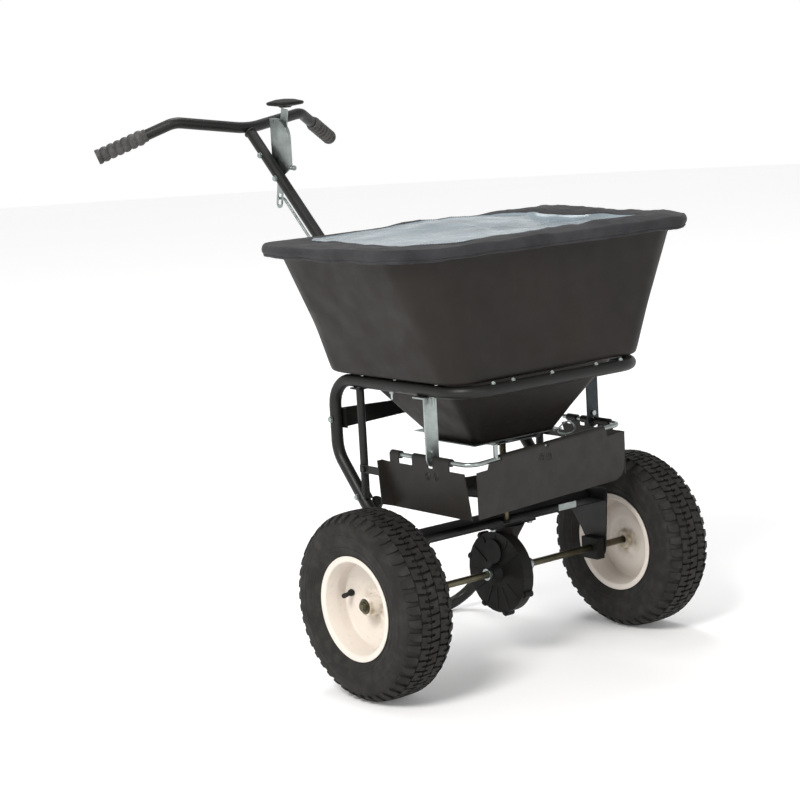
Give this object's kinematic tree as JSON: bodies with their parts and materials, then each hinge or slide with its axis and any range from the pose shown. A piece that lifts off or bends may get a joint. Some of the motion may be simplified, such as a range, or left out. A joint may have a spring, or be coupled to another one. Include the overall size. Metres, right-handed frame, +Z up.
{
  "type": "drop spreader",
  "caption": "Walk-behind spreader: tub hopper on a tube frame, pneumatic wheels driving a spinner inside deflector panels, hand lever for the gate, rain cover.",
  "frame": {"origin": "on the ground under the middle of the whole machine's bounding box", "axes": "+X across the machine, along the axle; +Y back towards the handle; +Z up"},
  "size_m": [0.7242, 1.012, 1.0129],
  "materials": {
    "black_steel": "black satin powder coat on bent steel tube and plate",
    "black_sheet": "charcoal satin powder coat on thin steel sheet",
    "zinc_plate": "bright bluish zinc plate",
    "yellow_zinc": "yellow zinc plate, slightly dulled",
    "moulded_plastic": "black moulded polyethylene and nylon",
    "cream_paint": "cream paint on pressed steel wheel halves",
    "tyre_rubber": "black turf tyre rubber",
    "black_rubber": "soft black rubber",
    "cover_fabric": "dark grey coated fabric with a clear vinyl window"
  },
  "bodies": {
    "frame": {"main_frame": "black_steel", "rear_cross_bar": "black_steel", "lower_cross_bar": "black_steel", "plain_tab": "zinc_plate", "axle_bracket_left": "black_steel", "axle_bracket_right": "black_steel", "axle_bearing_left": "moulded_plastic", "axle_bearing_right": "moulded_plastic", "brace_left": "black_steel", "brace_right": "black_steel", "rear_stand": "black_steel", "rear_bar_bolt_left": "zinc_plate", "rear_bar_bolt_right": "zinc_plate", "stand_bolt_left": "zinc_plate", "stand_bolt_right": "zinc_plate", "rod_hanger_left": "zinc_plate", "rod_hanger_right": "zinc_plate", "hanger_bolt_left": "zinc_plate", "hanger_bolt_right": "zinc_plate", "deflector_rod": "zinc_plate", "side_panel_left": "black_sheet", "side_panel_right": "black_sheet", "panel_strap_left": "black_steel", "panel_strap_right": "black_steel", "hopper": "moulded_plastic", "outlet_floor": "zinc_plate", "gearbox_lower": "moulded_plastic", "gearbox_upper": "moulded_plastic", "handle_stem": "black_steel", "stem_foot": "black_steel", "handle_bar": "black_steel", "grip_left": "black_rubber", "grip_right": "black_rubber", "gauge_plate": "zinc_plate", "gauge_bolt_upper": "zinc_plate", "gauge_bolt_lower": "zinc_plate", "lever_pivot_bolt": "zinc_plate", "stop_screw": "zinc_plate"},
    "axle": {"drive_axle": "yellow_zinc", "crown_gear": "moulded_plastic", "axle_collar_left": "zinc_plate", "axle_collar_right": "zinc_plate", "axle_clip_left": "yellow_zinc", "axle_clip_right": "yellow_zinc", "rim_left": "cream_paint", "tyre_left": "tyre_rubber", "valve_left": "black_rubber"},
    "right_wheel": {"rim_right": "cream_paint", "tyre_right": "tyre_rubber", "valve_right": "black_rubber"},
    "spinner_shaft": {"vertical_shaft": "yellow_zinc", "pinion": "yellow_zinc", "spinner": "moulded_plastic", "agitator": "zinc_plate"},
    "lever_arm": {"lever": "zinc_plate", "lever_knob": "moulded_plastic"},
    "shutoff_gate": {"gate": "zinc_plate", "control_rod": "zinc_plate"},
    "front_deflector": {"front_panel": "black_sheet"},
    "cover": {"rain_cover": "cover_fabric"}
  },
  "joints": [
    {"name": "axle_spin", "type": "hinge", "parent": "frame", "child": "axle", "pos_m": [0, -0.33004, 0.165], "axis": [1, 0, 0], "continuous": true},
    {"name": "right_wheel_spin", "type": "hinge", "parent": "frame", "child": "right_wheel", "pos_m": [0.3096, -0.33004, 0.165], "axis": [1, 0, 0], "continuous": true},
    {"name": "spinner_spin", "type": "hinge", "parent": "frame", "child": "spinner_shaft", "pos_m": [0, -0.33004, 0.318], "axis": [0, 0, 1], "continuous": true},
    {"name": "lever_swing", "type": "hinge", "parent": "frame", "child": "lever_arm", "pos_m": [0.0215, 0.30946, 0.881], "axis": [1, 0, 0], "range_deg": [-12, 17]},
    {"name": "gate_slide", "type": "slide", "parent": "frame", "child": "shutoff_gate", "axis": [0, 1, 0], "range_m": [-0.0146, 0.0206]},
    {"name": "front_panel_swing", "type": "hinge", "parent": "frame", "child": "front_deflector", "pos_m": [-0.211, -0.48704, 0.406], "axis": [0.9858, 0.1682, 0], "range_deg": [-60, 0]},
    {"name": "cover_lift", "type": "slide", "parent": "frame", "child": "cover", "axis": [0, 0, 1], "range_m": [0, 0.25]}
  ],
  "couplings": [
    {"joint": "spinner_spin", "follows": "axle_spin", "ratio": 4},
    {"joint": "gate_slide", "follows": "lever_swing", "m_per_rad": 0.069}
  ]
}
